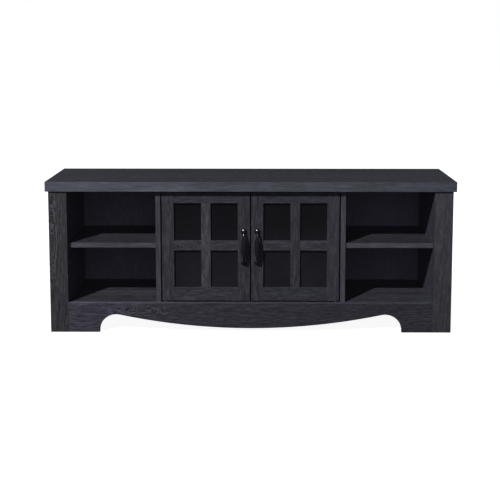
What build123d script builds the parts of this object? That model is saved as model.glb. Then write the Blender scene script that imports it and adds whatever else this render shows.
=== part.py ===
from build123d import *
import os
from math import atan, cos, sin, sqrt

# Media cabinet with boxed sides, two open bays, a pair of glazed doors and a scalloped apron.
# Millimetres. X runs along the width, the front faces -Y, Z is up and the floor is Z = 0.
# A setback is a distance behind the front face of the stiles.

# Overall sizes
WIDTH = 1473.0
TOP_DEPTH = 400.0
HEIGHT = 552.0
TOP_THICK = 36.0
TOP_FRONT_OVERHANG = 7.5
TOP_SIDE_OVERHANG = 10.5

# Boards
BOARD = 18.0
STILE_WIDTH = 66.0
STILE_THICK = 15.0
BACK_THICK = 3.0
BACK_REVEAL = 1.0
EDGE_RADIUS = 1.0
TOP_EDGE_RADIUS = 1.5
APRON_EDGE_RADIUS = 2.5

# Bays and shelves
DOORWAY = 650.0
FLOOR_TOP = 109.0
SHELF_TOP = 325.5
SHELF_SETBACK = 22.0
CENTRE_SHELF_SETBACK = 190.0
SHELF_GAP = 1.0
REAR_RAIL_SETBACK = 352.0

# Apron outline
FOOT_WIDTH = 112.0
ARCH_RADIUS = 60.0
ARCH_START = 5.5
APRON_LOW = 14.5

# Doors
DOOR_THICK = 18.0
HINGE_GAP = 5.0
MEETING_GAP = 5.0
DOOR_END_GAP = 5.0
DOOR_STILE = 43.5
TOP_RAIL = 39.5
BOTTOM_RAIL = 48.5
MULLION = 34.5
MUNTIN = 36.5
GRID_THICK = 10.0
REBATE = 8.5
GLASS_THICK = 4.0
GLASS_PLAY = 0.5

# Door pivots, with a running clearance between pin and bush
PIVOT_INSET = 12.0
PIN_RADIUS = 2.5
PIN_CLEARANCE = 0.05
PIN_IN_DOOR = 14.0
PIN_IN_BUSH = 8.0
COLLAR_RADIUS = 5.5
BUSH_RADIUS = 4.5
BUSH_DEPTH = 9.0
BUSH_FLANGE_RADIUS = 6.5
BUSH_FLANGE = 1.0
COLLAR_PLAY = 0.3

# Bow handles
HANDLE_SPACING = 114.0
HANDLE_PROJECTION = 30.0
FOOT_RADIUS = 10.8
FOOT_RIM = 2.8
FOOT_CROWN_RADIUS = 13.0
FOOT_EDGE_RADIUS = 1.2
BOW_END_HEIGHT = 5.0
BOW_FLATNESS = 14
GRIP_HALF_THICK = 4.8
GRIP_SECTIONS = ((57.0, 4.5, 4.1), (55.7, 4.4, 4.0), (53.8, 4.1, 3.9), (51.0, 3.9, 3.75), (47.5, 3.9, 3.75),
                 (43.0, 4.3, 3.85), (36.0, 5.6, 4.05), (24.0, 7.4, 4.35), (12.0, 8.3, 4.7))
GRIP_HALF_WIDTH = 8.6

# Fasteners
DOWEL_RADIUS = 4.0
DOWEL_LENGTH = 30.0
DOWEL_IN_THIN_BOARD = 10.0
CAM_RADIUS = 7.5
CAM_DEPTH = 12.5
CAM_FROM_EDGE = 34.0
CAM_SLOT = (9.0, 1.8, 1.5)
BOLT_RADIUS = 3.0
BOLT_THREAD = 10.0
BOLT_SHORT_OF_CAM = 3.0
CONFIRMAT_LENGTH = 50.0
NAIL_LENGTH = 18.0
SHELF_PIN_RADIUS = 2.5
SHELF_PIN_BURIED = 9.0
SHELF_PIN_LEDGE = (12.0, 9.0, 2.5)
HANDLE_SCREW_RADIUS = 2.0
HANDLE_SCREW_BITE = 7.0
SMALL_SCREW_RADIUS = 1.5
SMALL_SCREW_BITE = 12.0
SMALL_HEAD_RADIUS = 2.8
SMALL_HEAD_THICK = 1.6
DOOR_DOWEL_RADIUS = 3.0
TOP_RAIL_DOWELS = (16.0, 28.0)
BOTTOM_RAIL_DOWELS = (14.0, 32.0)

# Magnetic catches
CATCH_SIZE = (38.0, 14.0, 13.0)
MAGNET_SIZE = (22.0, 9.0, 8.0)
MAGNET_PROUD = 0.5
CATCH_GAP = 0.3
CATCH_SCREW_SPACING = 30.0
STRIKE_SIZE = (30.0, 1.5, 14.0)
STRIKE_BELOW_DOOR_TOP = 1.0
STRIKE_SCREW_SPACING = 20.0

# Places that follow from the sizes above
TOP_UNDER = HEIGHT - TOP_THICK
BODY_HALF = WIDTH / 2 - TOP_SIDE_OVERHANG
BAY_HALF = BODY_HALF - STILE_WIDTH
DOORWAY_HALF = DOORWAY / 2
FLOOR_UNDER = FLOOR_TOP - BOARD
SHELF_UNDER = SHELF_TOP - BOARD
TOP_REAR = TOP_DEPTH - TOP_FRONT_OVERHANG
CARCASS_REAR = TOP_REAR - BACK_REVEAL - BACK_THICK
FRONT = -(STILE_THICK - HANDLE_PROJECTION + TOP_REAR) / 2

DOOR_FACE = STILE_THICK
DOOR_BACK = DOOR_FACE + DOOR_THICK
DOOR_LOW = FLOOR_TOP + DOOR_END_GAP
DOOR_HIGH = TOP_UNDER - DOOR_END_GAP
DOOR_MIDDLE = (DOOR_LOW + DOOR_HIGH) / 2
DOOR_INNER = MEETING_GAP / 2
DOOR_OUTER = DOORWAY_HALF - HINGE_GAP
LITE_INNER = DOOR_INNER + DOOR_STILE
LITE_OUTER = DOOR_OUTER - DOOR_STILE
LITE_LOW = DOOR_LOW + BOTTOM_RAIL
LITE_HIGH = DOOR_HIGH - TOP_RAIL
GLASS_FACE = DOOR_FACE + GRID_THICK
PIVOT_X = DOOR_OUTER - PIVOT_INSET
PIVOT_SETBACK = DOOR_FACE + DOOR_THICK / 2
LOCK_STILE_X = DOOR_INNER + DOOR_STILE / 2

SIDES = {"left": -1, "right": 1}
nodes = {}


def at(setback):
    return FRONT + setback


def depth(near, far):
    return at(near), at(far)


def span(side, near, far):
    """The X range between two distances from the middle, on the side of the given sign."""
    return tuple(sorted((side * near, side * far)))


def around(middle, length):
    return middle - length / 2, middle + length / 2


def board(x, y, z):
    """A rectangular block between its low and high ends along each axis."""
    size = [high - low for low, high in (x, y, z)]
    middle = [(low + high) / 2 for low, high in (x, y, z)]
    return Pos(*middle) * Box(*size)


def rod(start, end, radius):
    """A round rod between two points."""
    run = Vector(*end) - Vector(*start)
    place = Plane(origin=start, z_dir=run)
    return place * Cylinder(radius, run.length, align=(Align.CENTER, Align.CENTER, Align.MIN))


def stepped_rod(start, direction, steps):
    """Rods of (length, radius) one after another along a direction, as one solid."""
    place = Vector(*start)
    shape = None
    for length, radius in steps:
        end = place + Vector(*direction) * length
        piece = rod(tuple(place), tuple(end), radius)
        shape = piece if shape is None else shape + piece
        place = end
    return shape


def eased(shape, axis, radius=EDGE_RADIUS):
    """Rounds the front edges that run along an axis."""
    front = shape.faces().sort_by(Axis.Y)[0]
    return fillet(front.edges().filter_by(axis), radius)


def sink(fitting, *names):
    """Cuts a fitting's own shape out of the named boards and returns the fitting."""
    for name in names:
        nodes[name] -= fitting
    return fitting


# Top panel
def make_top():
    top = board(around(0, WIDTH), depth(-TOP_FRONT_OVERHANG, TOP_REAR), (TOP_UNDER, HEIGHT))
    nodes["top_panel"] = fillet(top.edges(), TOP_EDGE_RADIUS)


# Boxed sides: a stile in front, an outer and an inner panel, and a spacer that closes the rear
def make_side(name, side):
    tall = (0, TOP_UNDER)
    behind_stile = depth(STILE_THICK, CARCASS_REAR)
    stile = board(span(side, BAY_HALF, BODY_HALF), depth(0, STILE_THICK), tall)
    nodes[f"{name}_front_stile"] = eased(stile, Axis.Z)
    nodes[f"{name}_outer_side"] = board(span(side, BODY_HALF - BOARD, BODY_HALF), behind_stile, tall)
    nodes[f"{name}_inner_side"] = board(span(side, BAY_HALF, BAY_HALF + BOARD), behind_stile, tall)
    nodes[f"{name}_rear_spacer"] = board(
        span(side, BAY_HALF + BOARD, BODY_HALF - BOARD), depth(CARCASS_REAR - BOARD, CARCASS_REAR), tall
    )


# Dividers, bottom panel, rear rail and back panels
def make_carcass():
    behind_stile = depth(STILE_THICK, CARCASS_REAR)
    full = (-BAY_HALF, BAY_HALF)
    nodes["bottom_panel"] = board(full, behind_stile, (FLOOR_UNDER, FLOOR_TOP))
    rail_depth = depth(REAR_RAIL_SETBACK, REAR_RAIL_SETBACK + BOARD)
    nodes["rear_rail"] = board(full, rail_depth, (0, FLOOR_UNDER))
    divider_middle = DOORWAY_HALF + BOARD / 2
    back_depth = depth(CARCASS_REAR, CARCASS_REAR + BACK_THICK)
    back_tall = (FLOOR_UNDER, TOP_UNDER)
    nodes["centre_back_panel"] = board(span(1, -divider_middle, divider_middle), back_depth, back_tall)
    for name, side in SIDES.items():
        upright = board(
            span(side, DOORWAY_HALF, DOORWAY_HALF + BOARD), behind_stile, (FLOOR_TOP, TOP_UNDER)
        )
        nodes[f"{name}_divider"] = eased(upright, Axis.Z)
        nodes[f"{name}_back_panel"] = board(span(side, divider_middle, BODY_HALF), back_depth, back_tall)


# Apron: two feet, a quarter-round arch beside each, and one long sagging curve between the arches
def make_apron():
    arch_x = BAY_HALF - FOOT_WIDTH - ARCH_RADIUS
    foot_x = arch_x + ARCH_RADIUS
    rise = ARCH_RADIUS + ARCH_START - APRON_LOW
    sag_radius = (arch_x**2 / rise - (ARCH_RADIUS - ARCH_START + APRON_LOW)) / 2
    to_sag = Vector(-arch_x, APRON_LOW + sag_radius - ARCH_START)
    join = Vector(arch_x, ARCH_START) + to_sag.normalized() * ARCH_RADIUS
    shoulder_x = arch_x + ARCH_RADIUS / sqrt(2)
    shoulder_z = ARCH_START + ARCH_RADIUS / sqrt(2)
    outline = [ThreePointArc((-join.X, join.Y), (0, APRON_LOW), (join.X, join.Y))]
    outline.append(Line((-BAY_HALF, FLOOR_TOP), (BAY_HALF, FLOOR_TOP)))
    for side in SIDES.values():
        arch_foot = (side * foot_x, ARCH_START)
        shoulder = (side * shoulder_x, shoulder_z)
        outline.append(ThreePointArc((side * join.X, join.Y), shoulder, arch_foot))
        outline.append(Line(arch_foot, (side * foot_x, 0)))
        outline.append(Line((side * foot_x, 0), (side * BAY_HALF, 0)))
        outline.append(Line((side * BAY_HALF, 0), (side * BAY_HALF, FLOOR_TOP)))
    face = Pos(0, at(STILE_THICK), 0) * (Plane.XZ * make_face(outline))
    apron = extrude(face, STILE_THICK)
    front = apron.faces().sort_by(Axis.Y)[0]
    above_floor = [edge for edge in front.edges() if edge.center().Z > EDGE_RADIUS]
    shown = [edge for edge in above_floor if abs(edge.center().X) < BAY_HALF - EDGE_RADIUS]
    nodes["apron"] = fillet(shown, APRON_EDGE_RADIUS)


# Shelves, each lying on four pins
def make_shelf(name, x, setback):
    shelf_depth = depth(setback, CARCASS_REAR - SHELF_GAP)
    shelf = board((x[0] + SHELF_GAP, x[1] - SHELF_GAP), shelf_depth, (SHELF_UNDER, SHELF_TOP))
    nodes[name] = eased(shelf, Axis.X)


def shelf_pin(wall_x, setback, into_bay):
    """A pin in the wall with a flat ledge under the shelf. into_bay is the sign of X away from the wall."""
    ledge_long, ledge_wide, ledge_thick = SHELF_PIN_LEDGE
    height = SHELF_UNDER - SHELF_PIN_RADIUS
    start = (wall_x - into_bay * SHELF_PIN_BURIED, at(setback), height)
    end = (wall_x + into_bay * ledge_long, at(setback), height)
    ledge_x = sorted((wall_x, wall_x + into_bay * ledge_long))
    ledge = board(ledge_x, around(at(setback), ledge_wide), (SHELF_UNDER - ledge_thick, SHELF_UNDER))
    return rod(start, end, SHELF_PIN_RADIUS) + ledge


def make_shelves():
    pins = []
    side_setbacks = (70.0, 330.0)
    centre_setbacks = (225.0, 345.0)
    make_shelf("centre_shelf", (-DOORWAY_HALF, DOORWAY_HALF), CENTRE_SHELF_SETBACK)
    for name, side in SIDES.items():
        make_shelf(f"{name}_shelf", span(side, DOORWAY_HALF + BOARD, BAY_HALF), SHELF_SETBACK)
        for setback in side_setbacks:
            pins.append(sink(shelf_pin(side * BAY_HALF, setback, -side), f"{name}_inner_side"))
            pins.append(sink(shelf_pin(side * (DOORWAY_HALF + BOARD), setback, side), f"{name}_divider"))
        for setback in centre_setbacks:
            pins.append(sink(shelf_pin(side * DOORWAY_HALF, setback, -side), f"{name}_divider"))
    nodes["shelf_pins"] = Compound(children=pins)


# Door frame, grid, glass and beads
def make_door(name, side):
    door = f"{name}_door"
    thick = depth(DOOR_FACE, DOOR_BACK)
    grid = depth(DOOR_FACE, GLASS_FACE)
    tall = (DOOR_LOW, DOOR_HIGH)
    lites = span(side, LITE_INNER, LITE_OUTER)
    lite_tall = (LITE_LOW, LITE_HIGH)
    lite_middle = (LITE_INNER + LITE_OUTER) / 2
    lite_half = (LITE_LOW + LITE_HIGH) / 2
    nodes[f"{door}_hinge_stile"] = eased(board(span(side, LITE_OUTER, DOOR_OUTER), thick, tall), Axis.Z)
    nodes[f"{door}_lock_stile"] = eased(board(span(side, DOOR_INNER, LITE_INNER), thick, tall), Axis.Z)
    nodes[f"{door}_top_rail"] = eased(board(lites, thick, (LITE_HIGH, DOOR_HIGH)), Axis.X)
    nodes[f"{door}_bottom_rail"] = eased(board(lites, thick, (DOOR_LOW, LITE_LOW)), Axis.X)
    mullion_x = around(side * lite_middle, MULLION)
    nodes[f"{door}_mullion"] = eased(board(mullion_x, grid, lite_tall), Axis.Z)
    muntin_z = around(lite_half, MUNTIN)
    bars = [
        eased(board((lites[0], mullion_x[0]), grid, muntin_z), Axis.X),
        eased(board((mullion_x[1], lites[1]), grid, muntin_z), Axis.X),
    ]
    nodes[f"{door}_muntins"] = Compound(children=bars)

    pocket_x = (lites[0] - REBATE, lites[1] + REBATE)
    pocket_z = (LITE_LOW - REBATE, LITE_HIGH + REBATE)
    pocket = board(pocket_x, depth(GLASS_FACE, DOOR_BACK), pocket_z)
    for piece in ("hinge_stile", "lock_stile", "top_rail", "bottom_rail"):
        sink(pocket, f"{door}_{piece}")
    glass_rear = GLASS_FACE + GLASS_THICK
    nodes[f"{door}_glass"] = board(
        (pocket_x[0] + GLASS_PLAY, pocket_x[1] - GLASS_PLAY),
        depth(GLASS_FACE, glass_rear),
        (pocket_z[0] + GLASS_PLAY, pocket_z[1] - GLASS_PLAY),
    )
    bead_depth = depth(glass_rear, DOOR_BACK)
    beads = [board(pocket_x, bead_depth, (low, low + REBATE)) for low in (pocket_z[0], LITE_HIGH)]
    beads += [board((low, low + REBATE), bead_depth, lite_tall) for low in (pocket_x[0], lites[1])]
    nodes[f"{door}_glazing_beads"] = Compound(children=beads)


# Pivots: a pin with a collar at each end of the hinge stile, turning in a flanged bush
def make_pivots():
    bushes = []
    ends = ((DOOR_LOW, FLOOR_TOP, 1, "bottom_panel"), (DOOR_HIGH, TOP_UNDER, -1, "top_panel"))
    for name, side in SIDES.items():
        pins = []
        for door_end, panel_face, inward, panel in ends:
            collar = DOOR_END_GAP - BUSH_FLANGE - COLLAR_PLAY
            reach = COLLAR_PLAY + BUSH_FLANGE + PIN_IN_BUSH
            start = (side * PIVOT_X, at(PIVOT_SETBACK), door_end + inward * PIN_IN_DOOR)
            steps = ((PIN_IN_DOOR, PIN_RADIUS), (collar, COLLAR_RADIUS), (reach, PIN_RADIUS))
            pin = stepped_rod(start, (0, 0, -inward), steps)
            pins.append(sink(pin, f"{name}_door_hinge_stile"))
            mouth = (side * PIVOT_X, at(PIVOT_SETBACK), panel_face + inward * BUSH_FLANGE)
            steps = ((BUSH_FLANGE, BUSH_FLANGE_RADIUS), (BUSH_DEPTH, BUSH_RADIUS))
            bush = sink(stepped_rod(mouth, (0, 0, -inward), steps), panel)
            foot = (side * PIVOT_X, at(PIVOT_SETBACK), panel_face - inward * BUSH_DEPTH)
            bushes.append(bush - rod(mouth, foot, PIN_RADIUS + PIN_CLEARANCE))
        nodes[f"{name}_door_pivot_pins"] = Compound(children=pins)
    nodes["pivot_bushes"] = Compound(children=bushes)


# Handles: two domed feet and a flat-topped bow that swells in the middle
def bow_handle():
    """One handle standing on the plane Y = 0 and reaching towards -Y."""
    half = HANDLE_SPACING / 2
    crest = HANDLE_PROJECTION - GRIP_HALF_THICK
    sagitta = crest - BOW_END_HEIGHT

    def height(offset):
        return crest - sagitta * abs(offset / half) ** BOW_FLATNESS

    def slope(offset):
        return BOW_FLATNESS * sagitta / half * (offset / half) ** (BOW_FLATNESS - 1)

    def crown(radius):
        return FOOT_RIM + sqrt(FOOT_CROWN_RADIUS**2 - radius**2) - sqrt(FOOT_CROWN_RADIUS**2 - FOOT_RADIUS**2)

    rim = (FOOT_RADIUS, -FOOT_RIM)
    top = (0, -crown(0))
    half_way = FOOT_RADIUS / 2
    outline = [
        Line((0, 0), (FOOT_RADIUS, 0)),
        Line((FOOT_RADIUS, 0), rim),
        ThreePointArc(rim, (half_way, -crown(half_way)), top),
        Line(top, (0, 0)),
    ]
    profile = make_face(outline)
    profile = fillet(profile.vertices().sort_by_distance(rim)[0], FOOT_EDGE_RADIUS)
    foot = revolve(profile, Axis.Y)
    lower = [(-offset, wide, thick) for offset, wide, thick in GRIP_SECTIONS]
    upper = list(reversed(GRIP_SECTIONS))
    sections = []
    for offset, half_wide, half_thick in lower + [(0.0, GRIP_HALF_WIDTH, GRIP_HALF_THICK)] + upper:
        turn = atan(slope(offset))
        place = Plane(origin=(0, -height(offset), offset), x_dir=(1, 0, 0), z_dir=(0, sin(turn), cos(turn)))
        sections.append(place * Ellipse(half_wide, half_thick))
    handle = loft(sections)
    for sign in SIDES.values():
        handle += Pos(0, 0, sign * half) * foot
    return handle


def make_handles():
    for name, side in SIDES.items():
        x = side * LOCK_STILE_X
        nodes[f"{name}_door_handle"] = Pos(x, at(DOOR_FACE), DOOR_MIDDLE) * bow_handle()
        screws = []
        head_radius = 4.0
        head_thick = 2.4
        for offset in (-HANDLE_SPACING / 2, HANDLE_SPACING / 2):
            start = (x, at(DOOR_BACK) + head_thick, DOOR_MIDDLE + offset)
            shank = DOOR_THICK + HANDLE_SCREW_BITE
            screw = stepped_rod(start, (0, -1, 0), ((head_thick, head_radius), (shank, HANDLE_SCREW_RADIUS)))
            screws.append(sink(screw, f"{name}_door_lock_stile", f"{name}_door_handle"))
        nodes[f"{name}_door_handle_screws"] = Compound(children=screws)


# Magnetic catches under the top, and a strike plate on the back of each lock stile
def make_catches():
    bodies = []
    magnets = []
    body_screws = []
    strike_wide, strike_thick, strike_tall = STRIKE_SIZE
    body_wide, body_deep, body_tall = CATCH_SIZE
    magnet_wide, magnet_deep, magnet_tall = MAGNET_SIZE
    magnet_face = DOOR_BACK + strike_thick + CATCH_GAP
    body_face = magnet_face + MAGNET_PROUD
    body_z = (TOP_UNDER - body_tall, TOP_UNDER)
    for name, side in SIDES.items():
        x = side * LOCK_STILE_X
        body = board(around(x, body_wide), depth(body_face, body_face + body_deep), body_z)
        magnet_z = around(TOP_UNDER - body_tall / 2, magnet_tall)
        magnet = board(around(x, magnet_wide), depth(magnet_face, magnet_face + magnet_deep), magnet_z)
        body -= magnet
        for shift in (-CATCH_SCREW_SPACING / 2, CATCH_SCREW_SPACING / 2):
            start = (x + shift, at(body_face + body_deep / 2), body_z[0] - SMALL_HEAD_THICK)
            shank = body_tall + SMALL_SCREW_BITE
            steps = ((SMALL_HEAD_THICK, SMALL_HEAD_RADIUS), (shank, SMALL_SCREW_RADIUS))
            screw = stepped_rod(start, (0, 0, 1), steps)
            body -= screw
            body_screws.append(sink(screw, "top_panel"))
        bodies.append(body)
        magnets.append(magnet)

        strike_high = DOOR_HIGH - STRIKE_BELOW_DOOR_TOP
        strike_z = (strike_high - strike_tall, strike_high)
        plate = board(around(x, strike_wide), depth(DOOR_BACK, DOOR_BACK + strike_thick), strike_z)
        nodes[f"{name}_door_strike_plate"] = plate
        screws = []
        for shift in (-STRIKE_SCREW_SPACING / 2, STRIKE_SCREW_SPACING / 2):
            start = (x + shift, at(DOOR_BACK + strike_thick), strike_high - strike_tall / 2)
            steps = ((strike_thick, SMALL_HEAD_RADIUS), (SMALL_SCREW_BITE, SMALL_SCREW_RADIUS))
            screw = stepped_rod(start, (0, -1, 0), steps)
            screws.append(sink(screw, f"{name}_door_strike_plate", f"{name}_door_lock_stile"))
        nodes[f"{name}_door_strike_screws"] = Compound(children=screws)
    nodes["catch_bodies"] = Compound(children=bodies)
    nodes["catch_magnets"] = Compound(children=magnets)
    nodes["catch_screws"] = Compound(children=body_screws)


# Cam locks with their bolts: they pull the stiles to the inner sides and the top to the dividers
def cam_lock(face, inward, bolt):
    """The disc that a cam fills in a board face, and the slotted cam cut to take its bolt.
    inward is the sign of X into the board."""
    slot_long, slot_wide, slot_deep = CAM_SLOT
    disc = rod(face, (face[0] + inward * CAM_DEPTH, face[1], face[2]), CAM_RADIUS)
    slot_x = sorted((face[0], face[0] + inward * slot_deep))
    across = board(slot_x, around(face[1], slot_long), around(face[2], slot_wide))
    upright = board(slot_x, around(face[1], slot_wide), around(face[2], slot_long))
    return disc, disc - bolt - across - upright


def make_cams():
    locks = []
    bolts = []
    bolt_run = BOLT_THREAD + CAM_FROM_EDGE - BOLT_SHORT_OF_CAM
    stile_heights = (38.0, 249.0, 462.0)
    top_setbacks = (75.0, 330.0)
    for name, side in SIDES.items():
        middle = CAM_DEPTH / 2
        for height in stile_heights:
            x = side * (BAY_HALF + middle)
            start = (x, at(STILE_THICK - BOLT_THREAD), height)
            bolt = rod(start, (x, start[1] + bolt_run, height), BOLT_RADIUS)
            face = (side * BAY_HALF, at(STILE_THICK + CAM_FROM_EDGE), height)
            disc, lock = cam_lock(face, side, bolt)
            sink(disc, f"{name}_inner_side")
            bolts.append(sink(bolt, f"{name}_inner_side", f"{name}_front_stile"))
            locks.append(lock)
        for setback in top_setbacks:
            x = side * (DOORWAY_HALF + middle)
            start = (x, at(setback), TOP_UNDER + BOLT_THREAD)
            bolt = rod(start, (x, start[1], start[2] - bolt_run), BOLT_RADIUS)
            face = (side * DOORWAY_HALF, at(setback), TOP_UNDER - CAM_FROM_EDGE)
            disc, lock = cam_lock(face, side, bolt)
            sink(disc, f"{name}_divider")
            bolts.append(sink(bolt, f"{name}_divider", "top_panel"))
            locks.append(lock)
    nodes["cam_locks"] = Compound(children=locks)
    nodes["cam_bolts"] = Compound(children=bolts)


# Wooden dowels between the boards
def make_dowels():
    dowels = []
    half = DOWEL_LENGTH / 2
    top_setbacks = (130.0, 275.0)
    stile_heights = (110.0, 330.0, 480.0)
    apron_places = (-500.0, -250.0, 0.0, 250.0, 500.0)
    apron_end_heights = (30.0, 80.0)
    back_of_stile = at(STILE_THICK - DOWEL_IN_THIN_BOARD)
    for name, side in SIDES.items():
        uprights = {
            f"{name}_divider": DOORWAY_HALF + BOARD / 2,
            f"{name}_inner_side": BAY_HALF + BOARD / 2,
            f"{name}_outer_side": BODY_HALF - BOARD / 2,
        }
        for upright, x in uprights.items():
            for setback in top_setbacks:
                low = (side * x, at(setback), TOP_UNDER - half)
                high = (side * x, at(setback), TOP_UNDER + half)
                dowels.append(sink(rod(low, high, DOWEL_RADIUS), upright, "top_panel"))
        x = side * (BODY_HALF - BOARD / 2)
        for height in stile_heights:
            dowel = rod((x, back_of_stile, height), (x, back_of_stile + DOWEL_LENGTH, height), DOWEL_RADIUS)
            dowels.append(sink(dowel, f"{name}_front_stile", f"{name}_outer_side"))
        for height in apron_end_heights:
            y = at(STILE_THICK / 2)
            start = (side * (BAY_HALF - half), y, height)
            dowel = rod(start, (side * (BAY_HALF + half), y, height), DOWEL_RADIUS)
            dowels.append(sink(dowel, "apron", f"{name}_front_stile"))
    for x in apron_places:
        height = FLOOR_TOP - BOARD / 2
        dowel = rod((x, back_of_stile, height), (x, back_of_stile + DOWEL_LENGTH, height), DOWEL_RADIUS)
        dowels.append(sink(dowel, "apron", "bottom_panel"))
    nodes["wood_dowels"] = Compound(children=dowels)


def make_door_dowels():
    half = DOWEL_LENGTH / 2
    middle = at(PIVOT_SETBACK)
    rails = {
        "top_rail": [DOOR_HIGH - drop for drop in TOP_RAIL_DOWELS],
        "bottom_rail": [DOOR_LOW + rise for rise in BOTTOM_RAIL_DOWELS],
    }
    joints = {"lock_stile": LITE_INNER, "hinge_stile": LITE_OUTER}
    for name, side in SIDES.items():
        dowels = []
        for stile, x in joints.items():
            for rail, heights in rails.items():
                for height in heights:
                    start = (side * (x - half), middle, height)
                    dowel = rod(start, (side * (x + half), middle, height), DOOR_DOWEL_RADIUS)
                    dowels.append(sink(dowel, f"{name}_door_{stile}", f"{name}_door_{rail}"))
        nodes[f"{name}_door_dowels"] = Compound(children=dowels)


# Confirmat screws: inner sides to the bottom panel and rear rail, and bottom panel to the dividers
def confirmat(start, direction):
    head, neck = (3.0, 5.0), (9.0, 3.5)
    thread = (CONFIRMAT_LENGTH - head[0] - neck[0], 2.5)
    return stepped_rod(start, direction, (head, neck, thread))


def make_confirmats():
    screws = []
    panel_setbacks = (90.0, 300.0)
    rail_heights = (22.0, 68.0)
    for name, side in SIDES.items():
        outside = side * (BAY_HALF + BOARD)
        for setback in panel_setbacks:
            start = (outside, at(setback), FLOOR_TOP - BOARD / 2)
            screws.append(sink(confirmat(start, (-side, 0, 0)), f"{name}_inner_side", "bottom_panel"))
            start = (side * (DOORWAY_HALF + BOARD / 2), at(setback), FLOOR_UNDER)
            screws.append(sink(confirmat(start, (0, 0, 1)), "bottom_panel", f"{name}_divider"))
        for height in rail_heights:
            start = (outside, at(REAR_RAIL_SETBACK + BOARD / 2), height)
            screws.append(sink(confirmat(start, (-side, 0, 0)), f"{name}_inner_side", "rear_rail"))
    nodes["confirmat_screws"] = Compound(children=screws)


# Nails that hold the back panels to the rear edges of the carcass
def make_nails():
    nails = []
    head_radius = 2.5
    head_thick = 0.8
    shank_radius = 0.9
    heights = (140.0, 250.0, 360.0, 480.0)
    quarter = BOARD / 4
    floor_row = {"left": (-640.0, -500.0, -380.0), "centre": (-220.0, 0.0, 220.0)}
    floor_row["right"] = [-x for x in floor_row["left"]]

    def nail(x, height, panel, carrier):
        start = (x, at(CARCASS_REAR + BACK_THICK) + head_thick, height)
        steps = ((head_thick, head_radius), (NAIL_LENGTH, shank_radius))
        nails.append(sink(stepped_rod(start, (0, -1, 0), steps), panel, carrier))

    for name, side in SIDES.items():
        for height in heights:
            nail(side * (BODY_HALF - BOARD / 2), height, f"{name}_back_panel", f"{name}_outer_side")
            nail(side * (DOORWAY_HALF + 3 * quarter), height, f"{name}_back_panel", f"{name}_divider")
            nail(side * (DOORWAY_HALF + quarter), height, "centre_back_panel", f"{name}_divider")
    for name, places in floor_row.items():
        for x in places:
            nail(x, FLOOR_TOP - BOARD / 2, f"{name}_back_panel", "bottom_panel")
    nodes["back_panel_nails"] = Compound(children=nails)


make_top()
for side_name, side_sign in SIDES.items():
    make_side(side_name, side_sign)
make_carcass()
make_apron()
make_shelves()
for side_name, side_sign in SIDES.items():
    make_door(side_name, side_sign)
make_pivots()
make_handles()
make_catches()
make_cams()
make_dowels()
make_door_dowels()
make_confirmats()
make_nails()

os.makedirs("parts", exist_ok=True)
for node_name, shape in nodes.items():
    export_step(shape, f"parts/{node_name}.step")
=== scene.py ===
import math

import bpy
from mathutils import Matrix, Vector


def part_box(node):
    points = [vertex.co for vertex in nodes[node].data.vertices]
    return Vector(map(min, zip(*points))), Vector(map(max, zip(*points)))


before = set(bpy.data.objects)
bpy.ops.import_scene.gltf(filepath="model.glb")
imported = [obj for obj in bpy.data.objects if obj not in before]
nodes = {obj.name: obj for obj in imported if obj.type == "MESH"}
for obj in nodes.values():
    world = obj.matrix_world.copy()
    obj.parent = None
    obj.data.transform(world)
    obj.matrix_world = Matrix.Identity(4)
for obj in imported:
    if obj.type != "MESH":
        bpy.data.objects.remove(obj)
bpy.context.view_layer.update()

X, Y, Z = 0, 1, 2

# Where most values of a noise lie
NOISE_SPREAD = (0.3, 0.7)


# Helpers for node trees
def connect(tree, socket, value):
    """Links a socket to another socket, or sets it to a value."""
    if isinstance(value, bpy.types.NodeSocket):
        tree.links.new(value, socket)
    else:
        socket.default_value = value


def add(tree, kind, settings=None, **sockets):
    """Adds a node, sets it up and connects the inputs that are named, with underscores for spaces."""
    node = tree.nodes.new(kind)
    for key, value in (settings or {}).items():
        setattr(node, key, value)
    for key, value in sockets.items():
        connect(tree, node.inputs[key.replace("_", " ")], value)
    return node


def math_node(tree, operation, first, second=0.0, third=None, clamp=False):
    node = add(tree, "ShaderNodeMath", {"operation": operation, "use_clamp": clamp})
    connect(tree, node.inputs[0], first)
    connect(tree, node.inputs[1], second)
    if third is not None:
        connect(tree, node.inputs[2], third)
    return node.outputs[0]


def plus(tree, total, value, weight, clamp=False):
    """A total and a weighted value."""
    return math_node(tree, "MULTIPLY_ADD", value, weight, total, clamp)


def centred(tree, value):
    """A value of 0 to 1, moved to lie about 0."""
    return math_node(tree, "SUBTRACT", value, 0.5)


def vector_node(tree, operation, first, second=None):
    node = add(tree, "ShaderNodeVectorMath", {"operation": operation})
    connect(tree, node.inputs[0], first)
    if second is not None:
        connect(tree, node.inputs[1], second)
    return node


def scaled(tree, vector, factors):
    return vector_node(tree, "MULTIPLY", vector, factors).outputs["Vector"]


def measured_from(tree, vector, origin):
    return vector_node(tree, "SUBTRACT", vector, origin).outputs["Vector"]


def length(tree, vector):
    return vector_node(tree, "LENGTH", vector).outputs["Value"]


def split(tree, vector):
    return add(tree, "ShaderNodeSeparateXYZ", Vector=vector).outputs


def joined(tree, x, y, z):
    return add(tree, "ShaderNodeCombineXYZ", X=x, Y=y, Z=z).outputs[0]


def noise(tree, vector, waves, detail=3.0, roughness=0.55):
    """Noise of about 0 to 1. The waves are counted a metre, along each axis of the vector."""
    made = add(tree, "ShaderNodeTexNoise", Vector=scaled(tree, vector, waves), Scale=1.0, Detail=detail,
               Roughness=roughness)
    return made.outputs["Fac"]


def grain_noise(tree, place, along, across, detail=3.0, roughness=0.55):
    """Noise on a place in a sheet of oak, with its waves a metre along the grain and across it."""
    return noise(tree, place, (along, across, across), detail, roughness)


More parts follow.
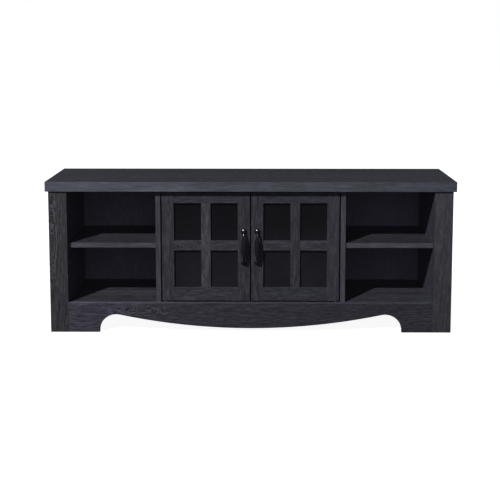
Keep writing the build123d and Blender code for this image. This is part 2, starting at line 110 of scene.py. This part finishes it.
def ramp(tree, value, low, high, to_low=0.0, to_high=1.0):
    """A smooth step from one value to another as the given value goes from low to high."""
    made = add(tree, "ShaderNodeMapRange", {"interpolation_type": "SMOOTHSTEP"}, Value=value, From_Min=low,
               From_Max=high, To_Min=to_low, To_Max=to_high)
    return made.outputs["Result"]


# Where the Mix node has its two inputs and its output for each kind of data
MIX_SOCKETS = {"RGBA": (6, 7, 2), "VECTOR": (4, 5, 1)}


def mix_node(tree, kind, factor, first, second, blend="MIX"):
    """The first value where the factor is 0 and the second, or its blend with the first, where it is 1."""
    node = add(tree, "ShaderNodeMix", {"data_type": kind, "blend_type": blend})
    first_at, second_at, result_at = MIX_SOCKETS[kind]
    connect(tree, node.inputs[0], factor)
    connect(tree, node.inputs[first_at], first)
    connect(tree, node.inputs[second_at], second)
    return node.outputs[result_at]


def with_alpha(colour):
    return colour if isinstance(colour, bpy.types.NodeSocket) else (*colour, 1.0)


def mixed(tree, factor, first, second):
    return mix_node(tree, "RGBA", factor, with_alpha(first), with_alpha(second))


def tinted(tree, colour, gains):
    """A colour times a gain for each channel."""
    return mix_node(tree, "RGBA", 1.0, colour, with_alpha(gains), "MULTIPLY")


def dimmed(tree, colour, gain):
    """A colour times a gain that varies over the surface."""
    return tinted(tree, colour, joined(tree, gain, gain, gain))


def chosen(tree, factor, first, second):
    """The first vector where the factor is 0 and the second where it is 1."""
    return mix_node(tree, "VECTOR", factor, first, second)


def new_material(name):
    """A material with one shader, its node tree and that shader."""
    material = bpy.data.materials.new(name)
    material.use_nodes = True
    tree = material.node_tree
    tree.nodes.clear()
    shader = tree.nodes.new("ShaderNodeBsdfPrincipled")
    output = tree.nodes.new("ShaderNodeOutputMaterial")
    tree.links.new(shader.outputs[0], output.inputs["Surface"])
    return material, tree, shader


def rubbed_and_highlit_edges(tree, width, place):
    """How far a point is on an edge, from 0 to 1, broken up along the edge. On hardware it marks rubbed
    edges; on the boards the edges it marks are partly rubbed and partly a painted highlight.
    """
    flat_cosine, turned_cosine = 0.998, 0.90
    sparse, dense, weakest_edge_share = 0.35, 0.6, 0.35
    edge_breaks = noise(tree, place, (60, 60, 60))
    rounded = add(tree, "ShaderNodeBevel", {"samples": 4}, Radius=width).outputs["Normal"]
    true = tree.nodes.new("ShaderNodeNewGeometry").outputs["Normal"]
    cosine = vector_node(tree, "DOT_PRODUCT", rounded, true).outputs["Value"]
    edge = ramp(tree, cosine, flat_cosine, turned_cosine)
    return math_node(tree, "MULTIPLY", edge, ramp(tree, edge_breaks, sparse, dense, weakest_edge_share, 1.0))


# Oak figure: growth rings cut by the face of the board, long streaks, fibres and open pores
def make_oak_figure():
    """A node group that turns a place in a sheet, as along, across and deep, into a tone and a height."""
    tree = bpy.data.node_groups.new("oak_figure", "ShaderNodeTree")
    tree.interface.new_socket("Place", in_out="INPUT", socket_type="NodeSocketVector")
    for output in ("Tone", "Height"):
        tree.interface.new_socket(output, in_out="OUTPUT", socket_type="NodeSocketFloat")
    place = tree.nodes.new("NodeGroupInput").outputs["Place"]
    ends = tree.nodes.new("NodeGroupOutput")

    # The pith slopes away from the face and wanders, and the rings round it are uneven
    pith_slope, pith_wander = 0.05, 0.03
    ring_pitch, ring_jitter = 0.0085, 1.0
    early_end, late_start = 0.12, 0.42
    along, across, deep = split(tree, place)
    wander = centred(tree, grain_noise(tree, place, 1.6, 7, detail=2.0))
    across = plus(tree, across, wander, pith_wander)
    deep = plus(tree, deep, along, pith_slope)
    square = math_node(tree, "MULTIPLY_ADD", across, across, math_node(tree, "MULTIPLY", deep, deep))
    rings = math_node(tree, "DIVIDE", math_node(tree, "SQRT", square), ring_pitch)
    rings = plus(tree, rings, grain_noise(tree, place, 5, 70), ring_jitter)
    late_wood = ramp(tree, math_node(tree, "PINGPONG", rings, 0.5), early_end, late_start)

    pore_rim, pore_heart, pore_darkness = 0.55, 0.7, 0.3
    streaks = grain_noise(tree, place, 2, 55, detail=4.0)
    flecks = grain_noise(tree, place, 30, 160, roughness=0.6)
    fibres = grain_noise(tree, place, 48, 330, detail=4.0, roughness=0.65)
    fine = grain_noise(tree, place, 60, 1300, detail=2.0)
    pores = ramp(tree, grain_noise(tree, place, 85, 1900, detail=2.0), pore_rim, pore_heart)

    tone = 0.5
    for value, weight in ((late_wood, 0.16), (streaks, 0.36), (flecks, 1.5), (fibres, 1.1), (fine, 0.4)):
        tone = plus(tree, tone, centred(tree, value), weight)
    tone = plus(tree, tone, pores, -pore_darkness, clamp=True)
    height = 0.0
    for value, weight in ((fibres, 0.7), (pores, -0.6), (fine, 0.35)):
        height = plus(tree, height, value, weight)
    tree.links.new(tone, ends.inputs["Tone"])
    tree.links.new(height, ends.inputs["Height"])
    return tree


def with_cathedral(tree, place, grain, tone, middle, half_long, half_wide):
    """Adds to a tone the nested arches of a flat-sawn board, which die away at the given half lengths."""
    arches_out, jaggedness = 3.5, 3.0
    arch_dark, arch_light, arch_mean = 0.08, 0.4, 0.55
    full_within, gone_beyond, strongest = 0.5, 1.15, 0.85
    stretch = [1 / half_wide] * 3
    stretch[grain] = 1 / half_long
    stretch[Y] = 0.0
    distance = length(tree, scaled(tree, measured_from(tree, place, middle), stretch))
    jagged = noise(tree, place, (70, 70, 70), detail=4.0, roughness=0.65)
    rings = plus(tree, math_node(tree, "MULTIPLY", distance, arches_out), jagged, jaggedness)
    arches = ramp(tree, math_node(tree, "PINGPONG", rings, 0.5), arch_dark, arch_light)
    strength = ramp(tree, distance, gone_beyond, full_within, 0.0, strongest)
    return plus(tree, tone, math_node(tree, "SUBTRACT", arches, arch_mean), strength, clamp=True)


# Charcoal oak laminate: the print's colours from dark to light, how its surface takes light and wear, and
# edges lighter as wear and as a painted highlight
OAK_FIGURE = make_oak_figure()
CHARCOAL = ((0.0105, 0.0107, 0.0150), (0.0280, 0.0283, 0.0378), (0.0615, 0.0615, 0.0765))
CHARCOAL_STOPS = (0.0, 0.5, 1.0)
LIGHTER_PATCH = (1.12, 1.10, 1.07)
ROUGHNESS_TONES = (0.1, 0.9)
LAMINATE_ROUGHNESS = (0.60, 0.44)
LAMINATE_SPECULAR = 0.22
LAMINATE_RELIEF = 0.0006
EDGE_STRETCH = 0.6
EDGE_CONTRAST = 0.55
RUBBED_AND_HIGHLIT_COLOUR = (0.085, 0.085, 0.09)
RUBBED_AND_HIGHLIT_WIDTH = 0.0016
RUBBED_AND_HIGHLIT_STRENGTH = 0.45

# How squarely a face looks along the grain, along the board's thickness or backwards
END_COSINE, EDGE_COSINE, REAR_COSINE = 0.7, 0.5, 0.5


def across_grain(grain):
    return Z if grain == X else X


def at_share(low, high, axis, share):
    """The place on an axis at a share of the way from one corner to another."""
    return low[axis] + share * (high[axis] - low[axis])


def gain_along(tree, run, low, high, grain, start, end, first=0.0, last=1.0):
    """A gain that goes from start to end between two shares of the board's length."""
    return ramp(tree, run, at_share(low, high, grain, first), at_share(low, high, grain, last), start, end)


def sheet_places(tree, from_pith, facing, grain, thin):
    """Where points lie in the printed sheet, as along, across and deep, and 1 on the board's edge bands."""
    parts = split(tree, from_pith)
    along, across = parts[grain], parts[across_grain(grain)]
    on_face = joined(tree, along, across, parts[Y])
    on_end = joined(tree, parts[Y], across, along)
    is_end = math_node(tree, "GREATER_THAN", math_node(tree, "ABSOLUTE", facing[grain]), END_COSINE)
    is_edge = math_node(tree, "LESS_THAN", math_node(tree, "ABSOLUTE", facing[thin]), EDGE_COSINE)
    place = chosen(tree, is_end, on_face, on_end)
    return chosen(tree, is_edge, place, scaled(tree, place, (EDGE_STRETCH, 1.0, 1.0))), is_edge


def print_colour(tree, tone, tint, contrast):
    """The colour of the print at a tone of 0 to 1."""
    colours = add(tree, "ShaderNodeValToRGB", Fac=tone)
    stops = colours.color_ramp.elements
    stops.new(CHARCOAL_STOPS[1])
    for stop, position, colour in zip(stops, CHARCOAL_STOPS, CHARCOAL):
        stop.position = position
        even = [mean + contrast * (channel - mean) for channel, mean in zip(colour, CHARCOAL[1])]
        stop.color = (*(gain * channel for gain, channel in zip(tint, even)), 1.0)
    return colours.outputs[0]


def make_board(name, grain, low, high, pith, tint=(1.0, 1.0, 1.0), contrast=1.0, bands=0.0, heart=None,
               painted_falloff=None, edge_highlight=None, rear_tint=None, bump=0.22):
    """Charcoal oak laminate for the board between two corners, with growth rings round a line through pith.
    tint is a gain on the print's colours, contrast one on how much they vary, and bands the strength of
    broad streaks. heart is a cathedral figure: the shares of the board's length and width where its middle
    is, and its half lengths along and across the grain. painted_falloff is painted light that falls off
    along the board: a gain at the low end of the grain, one at the far end, and the shares of the length
    between which it changes. edge_highlight is the same for the edge bands alone, a painted highlight.
    rear_tint is a gain on the face that looks backwards. bump is the strength of the relief."""
    material, tree, shader = new_material(f"charcoal_oak_{name}")
    coordinates = tree.nodes.new("ShaderNodeTexCoord").outputs
    own_place = coordinates["Object"]
    from_pith = measured_from(tree, own_place, pith)
    facing = split(tree, coordinates["Normal"])
    thin = min((X, Y, Z), key=lambda axis: high[axis] - low[axis])
    place, is_edge = sheet_places(tree, from_pith, facing, grain, thin)

    figure = add(tree, "ShaderNodeGroup", {"node_tree": OAK_FIGURE}, Place=place).outputs
    tone = figure["Tone"]
    if heart:
        share_along, share_across, half_long, half_wide = heart
        middle = (low + high) / 2
        middle[grain] = at_share(low, high, grain, share_along)
        middle[across_grain(grain)] = at_share(low, high, across_grain(grain), share_across)
        tone = with_cathedral(tree, own_place, grain, tone, middle, half_long, half_wide)
    # The edge bands have a weaker figure than the faces
    vivid = plus(tree, 1.0, is_edge, EDGE_CONTRAST - 1.0)
    tone = plus(tree, 0.5, centred(tree, tone), vivid)
    if bands:
        broad = centred(tree, grain_noise(tree, place, 1.2, 22, roughness=0.6))
        tone = plus(tree, tone, broad, bands, clamp=True)

    colour = print_colour(tree, tone, tint, contrast)
    # Slow drift between darker and lighter patches of the print
    drift = ramp(tree, grain_noise(tree, place, 1.8, 7, detail=2.0), *NOISE_SPREAD)
    colour = mixed(tree, drift, colour, tinted(tree, colour, LIGHTER_PATCH))
    run = split(tree, own_place)[grain]
    # Painted light: the board gets lighter towards one end, as light falling off along it
    if painted_falloff:
        colour = dimmed(tree, colour, gain_along(tree, run, low, high, grain, *painted_falloff))
    # Painted highlight: the edge bands are made lighter, by a gain that changes along the board
    if edge_highlight:
        lighter = dimmed(tree, colour, gain_along(tree, run, low, high, grain, *edge_highlight))
        colour = mixed(tree, is_edge, colour, lighter)
    # A gain on the face that looks backwards; the back panels use it to take their painted light off the
    # outer face
    if rear_tint:
        is_rear = math_node(tree, "GREATER_THAN", facing[Y], REAR_COSINE)
        colour = mixed(tree, is_rear, colour, tinted(tree, colour, rear_tint))
    # Edges lighter than the face: partly wear, partly a painted highlight where the edges catch light
    wear_and_highlight = math_node(tree, "MULTIPLY", rubbed_and_highlit_edges(tree, RUBBED_AND_HIGHLIT_WIDTH, from_pith), RUBBED_AND_HIGHLIT_STRENGTH)
    colour = mixed(tree, wear_and_highlight, colour, RUBBED_AND_HIGHLIT_COLOUR)
    tree.links.new(colour, shader.inputs["Base Color"])

    tree.links.new(ramp(tree, tone, *ROUGHNESS_TONES, *LAMINATE_ROUGHNESS), shader.inputs["Roughness"])
    shader.inputs["Specular IOR Level"].default_value = LAMINATE_SPECULAR
    relief = add(tree, "ShaderNodeBump", Strength=bump, Distance=LAMINATE_RELIEF, Height=figure["Height"])
    tree.links.new(relief.outputs[0], shader.inputs["Normal"])
    return material


def make_mottled(name, dark, light, waves, roughness, metallic=0.0, specular=0.5, ior=1.5, bump=0.1,
                 worn=None):
    """The pattern that the smaller materials share: two colours mottled by noise, edges rubbed to the worn
    colour, uneven gloss and a fine relief."""
    rubbed_width, relief_depth, finer = 0.0008, 0.0002, 4
    material, tree, shader = new_material(name)
    place = tree.nodes.new("ShaderNodeTexCoord").outputs["Object"]
    patches = noise(tree, place, waves, detail=4.0, roughness=0.6)
    colour = mixed(tree, ramp(tree, patches, *NOISE_SPREAD), dark, light)
    if worn:
        colour = mixed(tree, rubbed_and_highlit_edges(tree, rubbed_width, place), colour, worn)
    tree.links.new(colour, shader.inputs["Base Color"])
    grit = noise(tree, place, [finer * wave for wave in waves], roughness=0.6)
    tree.links.new(ramp(tree, grit, *NOISE_SPREAD, *roughness), shader.inputs["Roughness"])
    shader.inputs["Metallic"].default_value = metallic
    shader.inputs["Specular IOR Level"].default_value = specular
    shader.inputs["IOR"].default_value = ior
    relief = add(tree, "ShaderNodeBump", Strength=bump, Distance=relief_depth, Height=grit)
    tree.links.new(relief.outputs[0], shader.inputs["Normal"])
    return material


def make_glass():
    """Smoked glass: what is behind it shows dimly, it mirrors a little, and a pale film on it is thicker low
    down.
    """
    cleaner, smeared = (0.68, 0.69, 0.69), (0.65, 0.66, 0.66)
    thin_film, thick_film = (0.160, 0.156, 0.192), (0.207, 0.204, 0.248)
    film_bottom, film_top = 0.16, 0.47
    cover_at_bottom, cover_at_top, smear_cover = 0.039, 0.0, 0.004
    smear_thin, smear_thick = 0.35, 0.75
    polished, dulled = 0.03, 0.09
    mirror_ior = 1.42
    material, tree, shader = new_material("smoked_glass")
    place = tree.nodes.new("ShaderNodeTexCoord").outputs["Object"]
    blotches = noise(tree, place, (9, 9, 9), detail=5.0, roughness=0.6)
    smears = ramp(tree, blotches, smear_thin, smear_thick)
    cover = ramp(tree, split(tree, place)[Z], film_bottom, film_top, cover_at_bottom, cover_at_top)
    cover = plus(tree, cover, smears, smear_cover)
    clear = add(tree, "ShaderNodeBsdfTransparent", Color=mixed(tree, smears, cleaner, smeared))
    tree.links.new(mixed(tree, smears, thin_film, thick_film), shader.inputs["Base Color"])
    tree.links.new(ramp(tree, smears, 0.0, 1.0, polished, dulled), shader.inputs["Roughness"])
    shader.inputs["Specular IOR Level"].default_value = 0.5
    mirrored = add(tree, "ShaderNodeFresnel", IOR=mirror_ior).outputs[0]
    blend = tree.nodes.new("ShaderNodeMixShader")
    tree.links.new(math_node(tree, "ADD", cover, mirrored), blend.inputs[0])
    tree.links.new(clear.outputs[0], blend.inputs[1])
    tree.links.new(shader.outputs[0], blend.inputs[2])
    tree.links.new(blend.outputs[0], tree.nodes["Material Output"].inputs["Surface"])
    return material


GLASS = make_glass()
STEEL = make_mottled("zinc_steel", (0.42, 0.42, 0.44), (0.62, 0.62, 0.63), waves=(500, 500, 500),
                     roughness=(0.28, 0.45), metallic=1.0)
# Painted shade: a darker copy of the steel for the pivot pins, which sit in the shaded door gaps
SHADED_STEEL = make_mottled("shaded_steel", (0.10, 0.10, 0.105), (0.16, 0.16, 0.165), waves=(500, 500, 500),
                          roughness=(0.45, 0.6), metallic=1.0)
BLACK_METAL = make_mottled("black_gloss_metal", (0.0012, 0.0010, 0.0027), (0.0026, 0.0023, 0.0052),
                           waves=(180, 180, 90), roughness=(0.22, 0.28), specular=0.72, ior=1.7, bump=0.02,
                           worn=(0.012, 0.012, 0.014))
DOWEL = make_mottled("dowel_wood", (0.36, 0.24, 0.13), (0.58, 0.42, 0.25), waves=(300, 300, 300),
                     roughness=(0.55, 0.7), bump=0.2)
NYLON = make_mottled("black_nylon", (0.013, 0.013, 0.014), (0.022, 0.022, 0.024), waves=(700, 700, 700),
                     roughness=(0.4, 0.55), worn=(0.05, 0.05, 0.052))
VINYL = make_mottled("black_vinyl", (0.012, 0.012, 0.014), (0.02, 0.02, 0.022), waves=(400, 400, 400),
                     roughness=(0.42, 0.6))
FERRITE = make_mottled("ferrite", (0.05, 0.05, 0.054), (0.085, 0.085, 0.09), waves=(900, 900, 900),
                       roughness=(0.5, 0.7), worn=(0.14, 0.14, 0.145))

# Materials by the ending of the node's name. In this table and the next, the first ending that fits counts.
HARDWARE = {
    "glass": GLASS, "handle": BLACK_METAL, "dowels": DOWEL, "beads": VINYL, "bushes": NYLON, "bodies": NYLON,
    "magnets": FERRITE, "pivot_pins": SHADED_STEEL, "pins": STEEL, "screws": STEEL, "plate": STEEL,
    "locks": STEEL, "bolts": STEEL, "nails": STEEL,
}

# Boards that differ from the rest in tone, as printed boards do, and boards that carry painted light
LOOKS = {
    # Painted highlights on the edge bands of the top, the apron, the shelves and the dividers
    "top_panel": {"tint": (0.87, 0.95, 0.915), "edge_highlight": (2.80, 1.98, 0.22, 0.52), "bands": 0.5},
    # The stiles and the apron carry painted light that falls off along them
    "left_front_stile": {"tint": (1.02, 0.99, 0.90), "painted_falloff": (0.88, 1.18),
                         "heart": (0.659, 0.167, 0.21, 0.028)},
    "right_front_stile": {"tint": (1.08, 1.05, 0.99), "painted_falloff": (0.96, 1.29), "contrast": 0.65},
    "apron": {"tint": (0.95, 0.92, 0.99), "edge_highlight": (2.45, 2.6), "painted_falloff": (1.38, 0.87, 0.0, 0.45),
              "heart": (0.193, 0.716, 0.13, 0.028)},
    "shelf": {"tint": (1.06, 1.04, 1.03), "edge_highlight": (1.8, 1.8), "bands": 0.8},
    "bottom_panel": {"tint": (1.2, 1.2, 1.2), "bands": 1.2},
    "left_divider": {"tint": (1.1, 1.1, 1.08), "edge_highlight": (1.28, 1.28)},
    "right_divider": {"tint": (1.1, 1.1, 1.08), "edge_highlight": (1.46, 1.46)},
    # Painted light: the inner sides are made lighter, standing in for light in the shaded bays
    "left_inner_side": {"tint": (2.4, 2.3, 2.4)},
    "right_inner_side": {"tint": (1.85, 1.8, 1.85)},
    # Painted light: the back panels are made lighter where they face into the cabinet; rear_tint takes most
    # of it off the outer face
    "centre_back_panel": {"tint": (1.3, 1.2, 1.4), "rear_tint": (0.77, 0.83, 0.70), "contrast": 0.3,
                          "bump": 0.08},
    "back_panel": {"tint": (4.2, 3.95, 4.9), "rear_tint": (0.24, 0.25, 0.20), "contrast": 0.3, "bump": 0.08},
    "left_door_mullion": {"tint": (1.35, 1.32, 1.25)},
    "left_door_muntins": {"tint": (1.04, 1.02, 0.99), "heart": (0.208, 0.5, 0.045, 0.016)},
    "left_door_bottom_rail": {"tint": (1.0, 0.99, 1.0)},
    "right_door_top_rail": {"tint": (0.80, 0.84, 0.88)},
    "right_door_hinge_stile": {"tint": (1.0, 0.98, 0.99), "contrast": 0.75},
    "lock_stile": {"tint": (0.88, 0.86, 0.87)},
    "stile": {"tint": (0.93, 0.92, 0.93)},
    "rail": {"tint": (0.91, 0.92, 0.94)},
    "mullion": {"tint": (0.93, 0.92, 0.89)},
}
GRAIN_ALONG_X = (
    "top_panel", "bottom_panel", "shelf", "apron", "rear_rail", "top_rail", "bottom_rail", "muntins",
)

# Each board is cut from another place in the sheet. Its pith strays by shares of the board's size.
CUT_TURN, CUT_TURN_ACROSS, CUT_TURN_DEEP = 2.4, 1.7, 2.3
STRAY_ALONG, STRAY_ACROSS = 0.35, 0.3
PITH_DEPTH, PITH_DEPTH_STRAY = 0.018, 0.01


def first_fit(name, table):
    """What a table of name endings holds for a name, or None."""
    return next((value for ending, value in table.items() if name.endswith(ending)), None)


def pith_of(index, grain, low, high):
    """A place on the line that a board's growth rings run round."""
    across = across_grain(grain)
    size = high - low
    turn = index * CUT_TURN
    pith = (low + high) / 2
    pith[grain] += STRAY_ALONG * size[grain] * math.sin(turn)
    pith[across] += STRAY_ACROSS * size[across] * math.cos(CUT_TURN_ACROSS * turn)
    pith[Y] += PITH_DEPTH + PITH_DEPTH_STRAY * math.sin(CUT_TURN_DEEP * turn)
    return pith


def paint(node, material):
    node.data.materials.clear()
    node.data.materials.append(material)


for index, (name, node) in enumerate(sorted(nodes.items())):
    hardware = first_fit(name, HARDWARE)
    if hardware:
        paint(node, hardware)
        continue
    low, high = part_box(name)
    grain = X if name.endswith(GRAIN_ALONG_X) else Z
    look = first_fit(name, LOOKS) or {}
    paint(node, make_board(name, grain, low, high, pith_of(index, grain, low, high), **look))


# Floor, light and camera
def make_floor():
    """A pale floor that glows to white, a little less so near the object, and throws no light on it."""
    reach = 30.0
    darker, lighter = (0.30, 0.30, 0.30), (0.34, 0.34, 0.34)
    glow_near, glow_far, near, far = 0.93, 1.0, 1.0, 4.0
    mesh = bpy.data.meshes.new("floor")
    corners = [(-reach, -reach, 0), (reach, -reach, 0), (reach, reach, 0), (-reach, reach, 0)]
    mesh.from_pydata(corners, [], [(0, 1, 2, 3)])
    floor = bpy.data.objects.new("floor", mesh)
    bpy.context.scene.collection.objects.link(floor)
    material, tree, shader = new_material("pale_floor")
    place = tree.nodes.new("ShaderNodeTexCoord").outputs["Object"]
    shade = mixed(tree, noise(tree, place, (3, 3, 3)), darker, lighter)
    tree.links.new(shade, shader.inputs["Base Color"])
    shader.inputs["Roughness"].default_value = 0.9
    shader.inputs["Specular IOR Level"].default_value = 0.0
    shader.inputs["Emission Color"].default_value = (1.0, 1.0, 1.0, 1.0)
    glow = ramp(tree, length(tree, place), near, far, glow_near, glow_far)
    tree.links.new(glow, shader.inputs["Emission Strength"])
    paint(floor, material)
    floor.visible_diffuse = False
    floor.visible_glossy = False
    floor.visible_transmission = False


def make_area(name, place, aim, size, power):
    light = bpy.data.lights.new(name, "AREA")
    light.shape = "RECTANGLE"
    light.size, light.size_y = size
    light.energy = power
    lamp = bpy.data.objects.new(name, light)
    lamp.location = place
    lamp.rotation_euler = (Vector(aim) - Vector(place)).to_track_quat("-Z", "Y").to_euler()
    lamp.visible_camera = False
    bpy.context.scene.collection.objects.link(lamp)


def make_world(above, below):
    """White behind the object, and a dim light from all round that is weaker from below."""
    horizon_blend = 0.08
    sky_colour = (0.93, 0.96, 1.0, 1.0)
    world = bpy.data.worlds.new("studio")
    bpy.context.scene.world = world
    world.use_nodes = True
    tree = world.node_tree
    tree.nodes.clear()
    seen = add(tree, "ShaderNodeBackground", Color=(1.0, 1.0, 1.0, 1.0), Strength=1.0)
    height = split(tree, tree.nodes.new("ShaderNodeTexCoord").outputs["Generated"])[Z]
    strength = ramp(tree, height, -horizon_blend, horizon_blend, below, above)
    lit = add(tree, "ShaderNodeBackground", Color=sky_colour, Strength=strength)
    blend = tree.nodes.new("ShaderNodeMixShader")
    path = tree.nodes.new("ShaderNodeLightPath")
    output = tree.nodes.new("ShaderNodeOutputWorld")
    tree.links.new(path.outputs["Is Camera Ray"], blend.inputs[0])
    tree.links.new(lit.outputs[0], blend.inputs[1])
    tree.links.new(seen.outputs[0], blend.inputs[2])
    tree.links.new(blend.outputs[0], output.inputs["Surface"])


def make_camera():
    """The photo's viewpoint. Its lens shift is kept in part, and a tilt makes up the rest."""
    tilt, turn = math.radians(7.249), math.radians(0.443)
    data = bpy.data.cameras.new("camera")
    data.sensor_width = 36.0
    data.lens = 78.104
    data.shift_y = -0.15
    camera = bpy.data.objects.new("camera", data)
    camera.location = (0.0277, -4.0280, 1.0646)
    camera.rotation_euler = (math.pi / 2 - tilt, 0.0, turn)
    bpy.context.scene.collection.objects.link(camera)
    bpy.context.scene.camera = camera


make_floor()
make_world(above=0.06, below=0.03)
make_area("key", place=(-4.41, -8.2, 7.6), aim=(0.0, -0.05, 0.27), size=(0.4, 0.4), power=1440.0)
make_area("front_fill", place=(0.0, -3.6, 1.45), aim=(0.0, 0.0, 0.6), size=(4.0, 2.4), power=13.5)
for name, side in (("left_rear_fill", -1), ("right_rear_fill", 1)):
    make_area(name, place=(3.4 * side, 2.8, 0.8), aim=(0.0, 0.2, 0.3), size=(2.0, 1.4), power=120.0)
make_camera()

# The photo's deepest shadows are a dark blue-grey, not black
view = bpy.context.scene.view_settings
view.view_transform = "Standard"
view.use_curve_mapping = True
view.curve_mapping.black_level = (-0.0020, -0.0019, -0.0026)
view.curve_mapping.update()
